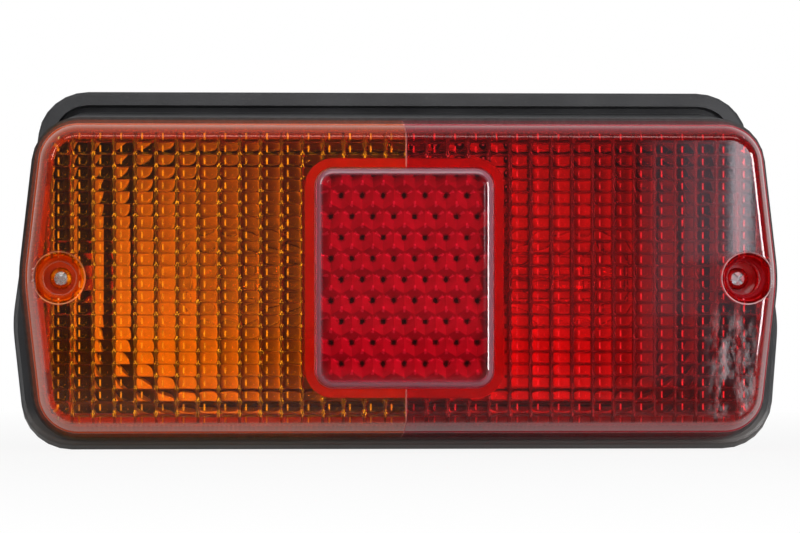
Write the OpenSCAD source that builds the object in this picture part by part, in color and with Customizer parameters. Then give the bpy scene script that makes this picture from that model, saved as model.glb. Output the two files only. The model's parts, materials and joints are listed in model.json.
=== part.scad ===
// Rear lamp cluster for the left of a car or light trailer: a two-colour lens with a
// reflex reflector in its middle, on a wedge-shaped base with a flange.
// X runs to the right as seen from behind the car, Y runs into the car and Z runs up.
// The origin lies in the plane of the mounting face, at the height of the lens's middle.

/* [Lens] */
// Width over the lip, at the middle of the height
lens_width = 197.2; // [185:0.2:210]
// Height over the lip
lens_height = 80.8; // [74:0.2:88]
// How much narrower the lens is on each side at its top and bottom edge
lens_side_step = 4.6; // [3:0.2:9]
// Corner radius of the lip
lens_corner_r = 10.5; // [7:0.5:12]
// Radius that blends the two straight parts of each end
lens_side_r = 40; // [20:5:60]
// Distance from the lip forward to the lens's face
lens_rise = 12; // [9:0.5:16]
// Length of the skirt behind the lip
skirt_length = 12; // [10:0.5:15]
// How far the skirt flares out to its rear edge
skirt_flare = 2.2; // [1:0.1:3]
// Wall of the lens
lens_wall = 2.2; // [1.8:0.1:2.6]
// Inset of the ribbed bevel from the lip
bevel_inset = 1.6; // [1.2:0.1:2.2]
// Inset of the shoulder from the lip
shoulder_inset = 3; // [2.6:0.1:3.6]
// Inset of the flat face from the lip
face_inset = 4.6; // [4:0.1:6]
// Place of the seam between the two colours, to the right of the middle
seam_x = 0.4; // [-1:0.1:2]

/* [Lens optics] */
// Width of one pillow
optic_pitch_x = 5.45; // [4.5:0.05:7]
// Height of one pillow
optic_pitch_z = 3.3; // [2.8:0.05:4.5]
// How far a pillow stands into the lamp
optic_bulge = 0.7; // [0.3:0.05:0.9]

/* [Screw cups] */
// Distance of each lens screw from the end of the lens
cup_from_end = 9.2; // [8.6:0.1:12.6]
// Diameter of the cup's mouth in the face
cup_mouth_d = 13; // [11:0.1:14]
// Diameter of the well below the mouth
cup_well_d = 8.4; // [7.6:0.1:8.6]
// Wall of the cup
cup_wall = 1.4; // [1.2:0.1:1.5]
// Thickness of the cup's floor under the screw head
cup_floor = 2; // [1.5:0.1:3]

/* [Reflex reflector] */
// Width of the window in the lens
window_w = 46.9; // [46:0.1:49]
// Height of the window in the lens
window_h = 57.5; // [54:0.1:60]
// Corner radius of the window
window_r = 5; // [4:0.5:8]
// Width of the reflector's flange behind the edge of the window
reflex_flange = 2.3; // [2:0.1:3]
// Thickness of that flange
reflex_flange_t = 1.5; // [1:0.1:2]
// How far the reflector stands out of the lens's face
reflex_proud = 2; // [1:0.1:3]
// Radius of the reflector's front edge
reflex_edge_r = 1.8; // [1:0.1:1.9]
// Sideways pitch of the corner prisms
prism_pitch_x = 5.4; // [4.8:0.05:5.6]
// Upward pitch of the corner prisms
prism_pitch_z = 5.35; // [4.8:0.05:5.5]
// Depth of a corner prism from its rim to its tip
prism_depth = 4.4; // [3:0.1:4.8]
// Corner prisms in a full row
prism_columns = 8; // [6:1:8]
// Rows of corner prisms, an odd number
prism_rows = 9; // [7:2:9]

/* [Flange] */
// How far the flange reaches beyond each end of the lens
flange_beyond = 4.2; // [3.6:0.1:10]
// Height of the flange above the origin, measured in its own plane
flange_above = 51.8; // [50:0.2:56]
// Height of the flange below the origin, measured in its own plane
flange_below = 48; // [47:0.2:54]
// How far below the origin the flange is widest
flange_widest_drop = 13.8; // [6:0.2:18]
// How much narrower the flange is on each side at its top edge
flange_top_step = 7.8; // [4:0.1:10]
// How much narrower the flange is on each side at its bottom edge
flange_bottom_step = 4; // [3:0.1:8]
// Corner radius of the flange
flange_corner_r = 13.5; // [10:0.5:16]
// Thickness of the flange and of the base's floor
floor_t = 3; // [2.4:0.1:3.6]
// Width of the raised rim along the flange's edge
rim_w = 4.2; // [3:0.1:4.6]
// Height of the raised rim above the flange
rim_h = 2; // [1:0.1:2.6]
// Rounding of the rim's outer edge
rim_round = 1.1; // [0.6:0.1:1.4]

/* [Base] */
// Lean of the mounting face against the lens's plane, in degrees
lean = 17.5; // [12:0.5:19]
// Distance from the lens's lip to the mounting face at the height of the origin
lip_to_mount = 36; // [35:0.5:42]
// Distance from the flange's edge in to the base's wall
wall_inset = 5.2; // [4.8:0.1:6]
// Wall of the base
base_wall = 2; // [1.6:0.1:2.2]
// How far the base reaches into the lens's skirt
spigot_h = 4; // [3:0.1:5]
// Gap between the skirt and the base inside it
spigot_gap = 0.4; // [0.3:0.05:0.5]
// Thickness of the seal under the skirt
seal_t = 1.2; // [0.8:0.1:1.6]
// Thickness of the gasket behind the flange
gasket_t = 1.5; // [1:0.1:3]
// Distance from the flange's edge in to the gasket's edge
gasket_inset = 0.8; // [0.4:0.1:2]
// Diameter of the base's posts under the cups
post_d = 10; // [9:0.2:11]

/* [Mounting studs and cable entry] */
// Distance between the two studs
stud_spacing = 80; // [76:1:110]
// Diameter of the studs
stud_d = 5; // [4:0.5:6]
// How much thicker the studs' necks are inside the lamp
stud_neck = 0.6; // [0.4:0.1:1]
// Length of the studs behind the mounting face
stud_out = 18; // [12:1:30]
// Width of the studs' hexagon heads across the flats
stud_head_af = 8; // [8:0.1:9]
// Height of the studs' heads
stud_head_h = 3; // [2.5:0.1:3.5]
// Sideways place of the cable entry
entry_x = 14; // [11:0.5:24]
// Height of the cable entry, measured in the plane of the mounting face
entry_up = 27; // [25:0.5:28]
// Bore of the cable grommet
entry_d = 6.5; // [4:0.1:7]
// Diameter of the base's hole for the grommet
entry_hole_d = 10; // [9:0.1:11]
// Width of the grommet's flanges beyond that hole
entry_lip = 2.5; // [1.5:0.1:3]

/* [Reflector tray and chassis] */
// Distance from the end of the lens to the end of the reflector tray
tray_from_end = 20.6; // [19.6:0.2:28]
// Height of the reflector tray, measured along its floor
tray_h = 74; // [70:0.5:75]
// Corner radius of the tray
tray_r = 25; // [16:1:30]
// How far the middle of the tray lies below the origin
tray_drop = 2; // [1:0.1:2.5]
// Gap between the base's floor and the tray
tray_lift = 5; // [4.5:0.1:5.4]
// Depth of the tray's turned-up edge
tray_edge = 7; // [4:0.5:9]
// Sheet thickness of the tray
tray_t = 0.8; // [0.6:0.1:1]
// Sheet thickness of the socket bracket
bracket_t = 1.2; // [0.8:0.1:1.4]
// Distance from the middle to the outer face of each bracket arm
arm_x = 12.2; // [11:0.1:13]
// Half the length of the bracket's foot
foot_half = 22; // [21:0.2:24]
// Half the width of the bracket's foot
foot_half_w = 12; // [10:0.5:14]
// Distance from the middle to each chassis screw
chassis_screw_x = 17; // [16.5:0.1:18]
// Thickness of the light baffle
baffle_t = 1; // [0.8:0.1:1.2]

/* [Bulbs and sockets] */
// Distance from the lip back to the bulbs' axis
bulb_depth = 11; // [10:0.1:11.4]
// Diameter of the bulb's cap
cap_d = 15; // [14.6:0.1:15.2]
// Distance from the middle to the inner end of the cap
cap_start = 9; // [8:0.1:9.5]
// Length of the cap
cap_length = 16; // [15:0.5:18]
// Diameter of the bulb's glass
glass_d = 25; // [20:0.5:25.4]
// Wall of the glass
glass_wall = 0.8; // [0.5:0.1:1]
// Length of the glass beyond the cap
glass_length = 34; // [32:1:38]
// Distance from the inner end of the cap to its pins
pin_from_cap = 8; // [7:0.1:9]
// Gap between the cap and the socket
socket_gap = 0.2; // [0.15:0.05:0.3]
// Wall of the socket
socket_wall = 0.8; // [0.6:0.1:1]

/* [Lens screws] */
// Diameter of the screw's head
screw_head_d = 5.8; // [5:0.1:6.6]
// Height of the screw's head
screw_head_h = 2.2; // [1.6:0.1:2.6]
// Diameter of the screw's shank
screw_d = 3; // [2.6:0.1:3.6]
// Length of the screw under its head
screw_length = 16; // [12:0.5:18]

/* [Hidden] */
$fn = 64;

// Widths that follow from the lens
cup_x = lens_width / 2 - cup_from_end;
flange_width = lens_width + 2 * flange_beyond;
tray_w = lens_width - 2 * tray_from_end;

// Small working values
corner_steps = 6;
least_r = 0.5;
reach = 1;
hole_gap = 0.2;
fit_gap = 0.1;
baffle_gap = 0.3;
optic_land = 0.1;
prism_land = 0.3;
pad_overlap = 0.4;
stud_post_wall = 3;
screw_post_wall = 2.5;
baffle_step = 5.5;
arm_step = 0.5;
collar_w = 1.6;
collar_t = 1;
disc_step = 2;
button_d = 3.4;
button_pitch = 7;
neck_step = 0.9;
neck_depth = 4;
filament_step = 4;
wire_d = 0.6;
coil_d = 1;
coil_half = 3.5;
insulator_edge = 1;
grommet_lip_t = 2;
earth_gap = 1;

// Bends of a sprung contact, measured from the bulb's axis, and its blade beyond the socket
leaf_foot = 8;
leaf_bend = 4;
leaf_flat = 1;
leaf_slant = 0.4;
leaf_w = 4;
blade_beyond = 9;

// Depths measured back from the lip
lip_y = -lip_to_mount;
face_depth = -lens_rise;
bevel_depth = -0.5 * lens_rise;
shoulder_depth = -0.9 * lens_rise;
inner_depth = face_depth + lens_wall;
inner_inset = bevel_inset + lens_wall + 0.7 * (shoulder_inset - bevel_inset);
ledge_depth = skirt_length + seal_t;
spigot_depth = ledge_depth - spigot_h - seal_t;
cup_bottom_depth = skirt_length;
cup_seat_depth = cup_bottom_depth - cup_floor;
cup_cone_depth = -3;
pilot_depth = cup_seat_depth + screw_length + reach;
bulb_y = lip_y + bulb_depth;

// Levels measured from the mounting face, into the lamp
floor_back = gasket_t;
floor_front = floor_back + floor_t;
tray_back = floor_front + tray_lift;
tray_front = tray_back + tray_t;
foot_front = tray_front + bracket_t;
stud_head_top = floor_front + tray_lift - hole_gap;

// Inner sizes that follow from the outer ones
cup_r = cup_well_d / 2 + cup_wall;
cup_pad_r = cup_mouth_d / 2 + cup_wall - pad_overlap;
socket_in_r = cap_d / 2 + socket_gap;
socket_r = socket_in_r + socket_wall;
socket_start = cap_start - 1;
socket_end = cap_start + cap_length - 2;
cap_end = cap_start + cap_length;
neck_r = cap_d / 2 - neck_step;
neck_seat = cap_end - neck_depth;
glass_r = glass_d / 2;
glass_centre = cap_end + glass_length - glass_r;
filament_x = glass_centre - 0.75 * filament_step;
insulator_t = 1.8;
insulator_x = baffle_t / 2;
contact_x = insulator_x + insulator_t;
contact_t = 0.6;
contact_nose = cap_start - 1.4;
blade_w = 6.3;
pin_x = cap_start + pin_from_cap;
pin_d = 2;
chassis_pilot_d = screw_d + fit_gap;
chassis_hole_d = screw_d + 2 * hole_gap;
stud_neck_d = stud_d + stud_neck;
stud_hole_d = stud_neck_d + hole_gap;
stud_gasket_d = stud_neck_d + 2 * hole_gap;
stud_post_d = stud_head_af + 2 * stud_post_wall;
screw_post_d = screw_d + 2 * screw_post_wall;
grommet_d = entry_hole_d + 2 * entry_lip;
grommet_top = floor_front + grommet_lip_t;
blade_out = socket_r + blade_beyond;
base_disc_t = 0.7;
shoulder_angle = 120;

// Corners of the outlines, as [x, height, radius], starting at the right and going up
lens_corners = hexagon(lens_width / 2, lens_height / 2, lens_height / 2, 0, lens_side_step, lens_side_step,
    lens_corner_r, lens_side_r);
flange_corners = hexagon(flange_width / 2, flange_above, flange_below, -flange_widest_drop,
    flange_top_step, flange_bottom_step, flange_corner_r, lens_side_r);
window_corners = box_corners(window_w, window_h, window_r);
tray_corners = box_corners(tray_w, tray_h, tray_r);

function hexagon(half_w, above, below, middle, top_step, bottom_step, r, side_r) = [
    [half_w, middle, side_r],
    [half_w - top_step, above, r],
    [top_step - half_w, above, r],
    [-half_w, middle, side_r],
    [bottom_step - half_w, -below, r],
    [half_w - bottom_step, -below, r]
];

function box_corners(w, h, r) = [
    [w / 2, -h / 2, r],
    [w / 2, h / 2, r],
    [-w / 2, h / 2, r],
    [-w / 2, -h / 2, r]
];

function flat(p) = [p.x, p.y];
function unit(v) = v / norm(v);
function before(list, i) = list[(i + len(list) - 1) % len(list)];
function after(list, i) = list[(i + 1) % len(list)];
function turn(a) = a > 180 ? a - 360 : a < -180 ? a + 360 : a;

// Half the angle at a corner, and the direction from it into the outline
function half_angle(a, b, c) = acos(unit(flat(a) - flat(b)) * unit(flat(c) - flat(b))) / 2;
function inward(a, b, c) = unit(unit(flat(a) - flat(b)) + unit(flat(c) - flat(b)));

// The same outline with every side moved inwards by d
function inset(corners, d) = [
    for (i = [0:len(corners) - 1])
        let (
            b = corners[i],
            a = before(corners, i),
            c = after(corners, i),
            p = flat(b) + inward(a, b, c) * d / sin(half_angle(a, b, c))
        )
        [p.x, p.y, max(b.z - d, least_r)]
];

// Points of the arc that rounds one corner
function corner_arc(a, b, c) =
    let (
        half = half_angle(a, b, c),
        centre = flat(b) + inward(a, b, c) * b.z / sin(half),
        start = flat(b) + unit(flat(a) - flat(b)) * b.z / tan(half) - centre,
        end = flat(b) + unit(flat(c) - flat(b)) * b.z / tan(half) - centre,
        first = atan2(start.y, start.x),
        sweep = turn(atan2(end.y, end.x) - first)
    )
    [
        for (k = [0:corner_steps])
            centre + b.z * [cos(first + sweep * k / corner_steps), sin(first + sweep * k / corner_steps)]
    ];

function outline(corners) = [
    for (i = [0:len(corners) - 1])
        each corner_arc(before(corners, i), corners[i], after(corners, i))
];

// Rings of points in space: parallel to the lens, or parallel to the mounting face
function lens_ring(d, depth) = [for (p = outline(inset(lens_corners, d))) [p.x, lip_y + depth, p.y]];
function window_ring(d, depth) = [for (p = outline(inset(window_corners, d))) [p.x, lip_y + depth, p.y]];
function mount_ring(d, level) = [
    for (p = outline(inset(flange_corners, d)))
        [p.x, p.y * sin(lean) - level * cos(lean), p.y * cos(lean) + level * sin(lean)]
];

// Height of the plane at a level above the mounting face, as its Y at a given Z
function plane_y(level, z) = z * tan(lean) - level / cos(lean);

// Solid through rings of equally many points, from the front ring to the rear one
module loft(rings) {
    n = len(rings[0]);
    last = len(rings) - 1;
    points = [for (ring = rings) each ring];
    front = [for (i = [n - 1:-1:0]) i];
    rear = [for (i = [0:n - 1]) last * n + i];
    sides = [
        for (k = [0:last - 1], i = [0:n - 1])
            let (j = (i + 1) % n)
            each [
                [k * n + i, k * n + j, (k + 1) * n + j],
                [k * n + i, (k + 1) * n + j, (k + 1) * n + i]
            ]
    ];
    polyhedron(points, concat([front, rear], sides));
}

// Flat plate parallel to the lens, from one depth to another
module lens_plate(corners, from, to) {
    translate([0, lip_y + to, 0])
        rotate([90, 0, 0])
            linear_extrude(to - from)
                polygon(outline(corners));
}

// Puts a shape drawn in the plane of the mounting face into place: its Z is the level
module on_mount() {
    rotate([90 - lean, 0, 0])
        children();
}

// Plate parallel to the mounting face, from one level to another
module mount_plate(corners, from, to, up = 0) {
    on_mount()
        translate([0, up, from])
            linear_extrude(to - from)
                polygon(outline(corners));
}

// Round bar square to the mounting face
module mount_bar(x, up, d, from, to) {
    on_mount()
        translate([x, up, from])
            cylinder(d = d, h = to - from);
}

// Round bar along Y between two depths behind the lip
module depth_bar(x, d, from, to) {
    translate([x, lip_y + from, 0])
        rotate([-90, 0, 0])
            cylinder(d = d, h = to - from);
}

// Round cone along Y between two depths behind the lip
module depth_cone(x, d_from, d_to, from, to) {
    translate([x, lip_y + from, 0])
        rotate([-90, 0, 0])
            cylinder(d1 = d_from, d2 = d_to, h = to - from);
}

// Puts a shape drawn along Z onto the axis of the bulbs, pointing to the right or the left
module on_bulb_axis(side) {
    translate([0, bulb_y, 0])
        rotate([0, 90 * side, 0])
            children();
}

// Inset of the skirt's inner face at a depth behind the lip
function skirt_inner(depth) = lens_wall - skirt_flare * depth / skirt_length;

module base_housing() {
    color("#26272a")
        difference() {
            union() {
                loft([
                    lens_ring(skirt_inner(spigot_depth) + spigot_gap, spigot_depth),
                    lens_ring(skirt_inner(skirt_length) + spigot_gap, ledge_depth + reach)
                ]);
                loft([lens_ring(-skirt_flare, ledge_depth), mount_ring(wall_inset, floor_front - reach)]);
                flange();
            }
            difference() {
                loft([
                    lens_ring(skirt_inner(spigot_depth) + spigot_gap + base_wall, spigot_depth - reach),
                    lens_ring(skirt_inner(skirt_length) + spigot_gap + base_wall, ledge_depth),
                    mount_ring(wall_inset + base_wall, floor_front)
                ]);
                base_posts();
            }
            for (side = [-1, 1]) {
                depth_bar(side * cup_x, screw_d + fit_gap, cup_bottom_depth - reach, pilot_depth);
                stud_hole(side);
                mount_bar(side * chassis_screw_x, 0, chassis_pilot_d, floor_back + reach, tray_back + reach);
            }
            mount_bar(entry_x, entry_up, entry_hole_d, floor_back - reach, floor_front + reach);
        }
}

// Flange with a raised rim whose outer edge is rounded
module flange() {
    rim_top = floor_front + rim_h;
    difference() {
        loft([
            mount_ring(rim_round, rim_top),
            mount_ring(0.3 * rim_round, rim_top - 0.3 * rim_round),
            mount_ring(0, rim_top - rim_round),
            mount_ring(0, floor_back)
        ]);
        mount_plate(inset(flange_corners, rim_w), floor_front, rim_top + reach);
    }
}

// Posts under the cups, seats of the studs and seats of the chassis screws
module base_posts() {
    for (side = [-1, 1]) {
        depth_bar(side * cup_x, post_d, cup_bottom_depth, lip_to_mount + reach);
        mount_bar(side * stud_spacing / 2, 0, stud_post_d, floor_back, tray_back);
        mount_bar(side * chassis_screw_x, 0, screw_post_d, floor_back, tray_back);
    }
}

// Hole for one stud, with the pocket that keeps its head from turning
module stud_hole(side) {
    mount_bar(side * stud_spacing / 2, 0, stud_hole_d, floor_back - reach, tray_back + reach);
    on_mount()
        translate([side * stud_spacing / 2, 0, stud_head_top - stud_head_h])
            hexagon_bar(stud_head_af + hole_gap, stud_head_h + 2 * reach);
}

module hexagon_bar(across_flats, h) {
    cylinder(d = across_flats / cos(30), h = h, $fn = 6);
}

module mounting_gasket() {
    color("#1c1c1c")
        difference() {
            mount_plate(inset(flange_corners, gasket_inset), 0, gasket_t);
            for (side = [-1, 1])
                mount_bar(side * stud_spacing / 2, 0, stud_gasket_d, -reach, gasket_t + reach);
            mount_bar(entry_x, entry_up, grommet_d + hole_gap, -reach, gasket_t + reach);
        }
}

module lens_seal() {
    color("#161616")
        difference() {
            lens_plate(inset(lens_corners, -skirt_flare), skirt_length, ledge_depth);
            lens_plate(
                inset(lens_corners, skirt_inner(skirt_length)),
                skirt_length - reach,
                ledge_depth + reach
            );
        }
}

// Outer form of the whole lens, before it is hollowed and parted at the seam
module lens_outer() {
    loft([
        lens_ring(face_inset, face_depth),
        lens_ring(shoulder_inset, shoulder_depth),
        lens_ring(bevel_inset, bevel_depth),
        lens_ring(0, 0),
        lens_ring(-skirt_flare, skirt_length)
    ]);
}

module lens_hollow() {
    loft([
        lens_ring(inner_inset, inner_depth),
        lens_ring(bevel_inset + lens_wall, bevel_depth),
        lens_ring(skirt_inner(0), 0),
        lens_ring(skirt_inner(skirt_length + reach), skirt_length + reach)
    ]);
}

// One colour of the lens, to the left (-1) or the right (1) of the seam
module lens_part(side) {
    half_start = side > 0 ? seam_x : seam_x - lens_width;
    difference() {
        union() {
            difference() {
                intersection() {
                    lens_outer();
                    translate([half_start, lip_y - lens_width / 2, -lens_width / 2])
                        cube(lens_width);
                }
                lens_hollow();
            }
            intersection() {
                lens_outer();
                cup_outer(side);
            }
            optic_pads(side);
        }
        cup_inner(side);
        lens_plate(window_corners, face_depth - reach, inner_depth + reach);
    }
}

module cup_outer(side) {
    depth_cone(side * cup_x, cup_mouth_d + 2 * cup_wall, 2 * cup_r, face_depth, cup_cone_depth);
    depth_bar(side * cup_x, 2 * cup_r, cup_cone_depth, cup_bottom_depth);
}

module cup_inner(side) {
    depth_cone(side * cup_x, cup_mouth_d, cup_well_d, face_depth, cup_cone_depth);
    depth_bar(side * cup_x, cup_well_d, cup_cone_depth, cup_seat_depth);
    depth_bar(side * cup_x, screw_d + 2 * hole_gap, cup_seat_depth - reach, cup_bottom_depth + reach);
}

// Numbers of the pillow columns and rows that bound the pads. Columns count outwards from the
// seam, and rows from the middle, where one row straddles the middle line.
function column_x(side, i) = seam_x + side * i * optic_pitch_x;
function row_z(k) = (k + 0.5) * optic_pitch_z;
function window_column(side) =
    ceil((window_w / 2 + reflex_flange + hole_gap - side * seam_x) / optic_pitch_x);
function cup_column(side) = floor((cup_x - cup_pad_r - side * seam_x) / optic_pitch_x);
function end_column(side) =
    floor((lens_width / 2 - lens_side_step - inner_inset - hole_gap - side * seam_x) / optic_pitch_x);

window_row = ceil((window_h / 2 + reflex_flange + hole_gap) / optic_pitch_z - 0.5);
cup_row = ceil(cup_pad_r / optic_pitch_z - 0.5);
end_row = floor((lens_height / 2 - inner_inset - hole_gap) / optic_pitch_z - 0.5);

// Pads of pillows on the inner face: beside the window, above and below it, and above and
// below the cup
module optic_pads(side) {
    first = window_column(side);
    middle = cup_column(side);
    last = end_column(side);
    optic_pad(side, first, middle, -end_row - 1, end_row);
    if (end_row > window_row) {
        optic_pad(side, 0, first, window_row, end_row);
        optic_pad(side, 0, first, -end_row - 1, -window_row - 1);
    }
    if (last > middle) {
        optic_pad(side, middle, last, cup_row, end_row);
        optic_pad(side, middle, last, -end_row - 1, -cup_row - 1);
    }
}

// Block with a flat front inside the lens's wall and a pillow in each cell of its rear face
module optic_pad(side, column_from, column_to, row_from, row_to) {
    columns = column_to - column_from;
    rows = row_to - row_from;
    x_from = min(column_x(side, column_from), column_x(side, column_to));
    x_to = x_from + columns * optic_pitch_x;
    z_from = row_z(row_from);
    z_to = row_z(row_to);
    front_y = lip_y + inner_depth - 0.5 * lens_wall;
    edge_y = lip_y + inner_depth + optic_land;
    grid = [
        for (k = [0:rows], i = [0:columns])
            [x_from + i * optic_pitch_x, edge_y, z_from + k * optic_pitch_z]
    ];
    tops = [
        for (k = [0:rows - 1], i = [0:columns - 1])
            [x_from + (i + 0.5) * optic_pitch_x, edge_y + optic_bulge, z_from + (k + 0.5) * optic_pitch_z]
    ];
    fronts = [for (p = [[x_from, z_from], [x_to, z_from], [x_to, z_to], [x_from, z_to]]) [p.x, front_y, p.y]];
    w = columns + 1;
    t = len(grid);
    f = t + len(tops);
    cells = [
        for (k = [0:rows - 1], i = [0:columns - 1])
            let (p = k * w + i, q = p + w, c = t + k * columns + i)
            each [[q, p, c], [q + 1, q, c], [p + 1, q + 1, c], [p, p + 1, c]]
    ];
    left = concat([f], [for (k = [0:rows]) k * w], [f + 3]);
    right = concat([f + 2], [for (k = [rows:-1:0]) k * w + columns], [f + 1]);
    bottom = concat([f + 1], [for (i = [columns:-1:0]) i], [f]);
    top = concat([f + 3], [for (i = [0:columns]) rows * w + i], [f + 2]);
    front = [f + 3, f + 2, f + 1, f];
    polyhedron(concat(grid, tops, fronts), concat(cells, [left, right, bottom, top, front]));
}

module lens_amber() {
    color("#e07a12", 0.75) lens_part(-1);
}

module lens_red() {
    color("#c2101c", 0.75) lens_part(1);
}

module reflex_reflector() {
    color("#b50d1e", 0.85)
        union() {
            loft([
                window_ring(hole_gap + reflex_edge_r, face_depth - reflex_proud),
                window_ring(hole_gap + 0.3 * reflex_edge_r, face_depth - reflex_proud + 0.3 * reflex_edge_r),
                window_ring(hole_gap, face_depth - reflex_proud + reflex_edge_r),
                window_ring(hole_gap, inner_depth + 0.5 * reflex_flange_t)
            ]);
            lens_plate(inset(window_corners, -reflex_flange), inner_depth, inner_depth + reflex_flange_t);
            corner_prisms();
        }
}

// Field of three-sided corner prisms on the back of the reflector. Its points lie on a grid
// of half pitches: tips at every third row, with low and middle rim points between them.
module corner_prisms() {
    half_x = prism_pitch_x / 2;
    third_z = prism_pitch_z / 3;
    across = 2 * prism_columns + 1;
    up = 3 * prism_rows + 2;
    front_y = lip_y + inner_depth + 0.7 * reflex_flange_t;
    rim_y = lip_y + inner_depth + reflex_flange_t + prism_land;
    places = [
        for (v = [0:up - 1], u = [0:across - 1])
            [(u - prism_columns) * half_x, (v - up / 2 + 0.5) * third_z, prism_depth * lift(v)]
    ];
    rears = [for (p = places) [p.x, rim_y + p.z, p.y]];
    fronts = [for (p = places) [p.x, front_y, p.y]];
    f = len(places);
    cells = [for (j = [0:prism_rows - 1], i = [0:row_count(j) - 1]) tip(i, j)];
    tips = [
        for (c = cells, k = [0:5])
            [prism_index(c), prism_index(c + around[k]), prism_index(c + around[(k + 1) % 6])]
    ];
    caps = [for (c = cells) [for (k = [5:-1:0]) f + prism_index(c + around[k])]];
    rim = [for (p = prism_boundary()) prism_index(p)];
    walls = [
        for (i = [0:len(rim) - 1])
            let (j = (i + 1) % len(rim))
            [f + rim[i], f + rim[j], rim[j], rim[i]]
    ];
    polyhedron(concat(rears, fronts), concat(tips, caps, walls));
}

// Steps on the grid from a tip to the six points around it
around = [[1, -1], [1, 1], [0, 2], [-1, 1], [-1, -1], [0, -2]];

// Share of the prism depth at a grid row: tip, middle or low
function lift(v) = v % 3 == 2 ? 1 : v % 3 == 1 ? 0.5 : 0;
function row_shift(j) = j % 2 == 0 ? 1 : 0;
function row_count(j) = prism_columns - row_shift(j);
function tip(i, j) = [1 + row_shift(j) + 2 * i, 2 + 3 * j];
function prism_index(p) = p.y * (2 * prism_columns + 1) + p.x;

// The jagged edge of the field, as grid points in order
function prism_boundary() =
    let (rows = prism_rows, top = prism_rows - 1)
    concat(
        [for (i = [0:row_count(0) - 1]) each [tip(i, 0) + [-1, -1], tip(i, 0) + [0, -2]]],
        [for (j = [0:rows - 1]) each [tip(row_count(j) - 1, j) + [1, -1], tip(row_count(j) - 1, j) + [1, 1]]],
        [for (i = [row_count(top) - 1:-1:0]) each [tip(i, top) + [0, 2], tip(i, top) + [-1, 1]]],
        [tip(0, top) + [-1, -1]],
        [for (j = [rows - 2:-1:1]) each [tip(0, j) + [-1, 1], tip(0, j) + [-1, -1]]],
        [tip(0, 0) + [-1, 1]]
    );

module reflector_tray() {
    color("#d9dadb")
        difference() {
            mount_plate(tray_corners, tray_back, tray_front + tray_edge, -tray_drop);
            mount_plate(inset(tray_corners, tray_t), tray_front, tray_front + tray_edge + reach, -tray_drop);
            for (side = [-1, 1])
                mount_bar(side * chassis_screw_x, 0, chassis_hole_d, tray_back - reach, tray_front + reach);
            mount_bar(entry_x, entry_up, grommet_d, tray_back - reach, tray_front + reach);
        }
}

// Upright sheet between the two light chambers, standing on the tray and the bracket's foot
module light_baffle() {
    half_h = tray_h / 2 - tray_t - baffle_step;
    front_y = lip_y + inner_depth + reflex_flange_t + prism_land + prism_depth + baffle_gap;
    color("#c9cacc")
        difference() {
            translate([-baffle_t / 2, 0, 0])
                rotate([90, 0, 90])
                    linear_extrude(baffle_t)
                        polygon([
                            [front_y, -half_h],
                            [plane_y(tray_front, -half_h), -half_h],
                            [plane_y(tray_front, half_h), half_h],
                            [front_y, half_h]
                        ]);
            foot_block(fit_gap);
        }
}

module foot_block(grow) {
    on_mount()
        translate([-foot_half, -foot_half_w - grow, tray_front - grow])
            cube([2 * foot_half, 2 * (foot_half_w + grow), bracket_t + grow]);
}

module socket_bracket() {
    color("#b9bbbd")
        difference() {
            union() {
                foot_block(0);
                for (side = [-1, 1])
                    bracket_arm(side);
            }
            for (side = [-1, 1])
                mount_bar(side * chassis_screw_x, 0, chassis_hole_d, tray_front - reach, foot_front + reach);
        }
}

// One arm of the bracket, with the hole that its socket sits in
module bracket_arm(side) {
    arm_half = foot_half_w - arm_step;
    arm_root = tray_front + 0.5 * bracket_t;
    start = side > 0 ? arm_x - bracket_t : -arm_x;
    translate([start, 0, 0])
        rotate([90, 0, 90])
            linear_extrude(bracket_t)
                difference() {
                    union() {
                        translate([bulb_y, 0])
                            circle(r = arm_half);
                        polygon([
                            [bulb_y, -arm_half],
                            [plane_y(arm_root, -arm_half), -arm_half],
                            [plane_y(arm_root, arm_half), arm_half],
                            [bulb_y, arm_half]
                        ]);
                    }
                    translate([bulb_y, 0])
                        circle(r = socket_r + fit_gap);
                }
}

// Socket shell with a collar outside the bracket's arm and two hooked slots for the pins
module socket(side) {
    slot_w = pin_d + 2 * hole_gap;
    on_bulb_axis(side)
        difference() {
            union() {
                translate([0, 0, socket_start])
                    cylinder(r = socket_r, h = socket_end - socket_start);
                translate([0, 0, arm_x])
                    cylinder(r = socket_r + collar_w, h = collar_t);
            }
            translate([0, 0, socket_start - reach])
                cylinder(r = socket_in_r, h = socket_end - socket_start + 2 * reach);
            for (turned = [0, 180])
                rotate([0, 0, turned]) {
                    translate([0, -slot_w / 2, pin_x - slot_w / 2])
                        cube([socket_r + reach, slot_w, slot_w]);
                    translate([0, slot_w / 2 - reach, pin_x - slot_w / 2])
                        cube([socket_r + reach, slot_w + reach, slot_w]);
                    translate([0, slot_w / 2 + hole_gap, pin_x - slot_w / 2])
                        cube([socket_r + reach, slot_w - hole_gap, socket_end - pin_x + slot_w]);
                }
        }
}

module indicator_socket() {
    color("#c6b27a") socket(-1);
}

module stop_tail_socket() {
    color("#c6b27a") socket(1);
}

// Bulb cap with its seat for the glass, two pins and the given number of end contacts
module bulb_cap(side, contacts) {
    on_bulb_axis(side) {
        difference() {
            translate([0, 0, cap_start])
                cylinder(d = cap_d, h = cap_length);
            translate([0, 0, neck_seat])
                cylinder(r = neck_r + fit_gap, h = cap_end - neck_seat + reach);
        }
        translate([0, 0, cap_start - base_disc_t])
            cylinder(d = cap_d - 2 * disc_step, h = base_disc_t + reach);
        for (k = [0:contacts - 1])
            translate([contact_offset(k, contacts), 0, contact_nose])
                cylinder(d = button_d, h = cap_start - contact_nose + reach);
        translate([-cap_d / 2 - socket_wall, 0, pin_x])
            rotate([0, 90, 0])
                cylinder(d = pin_d, h = cap_d + 2 * socket_wall);
    }
}

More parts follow.
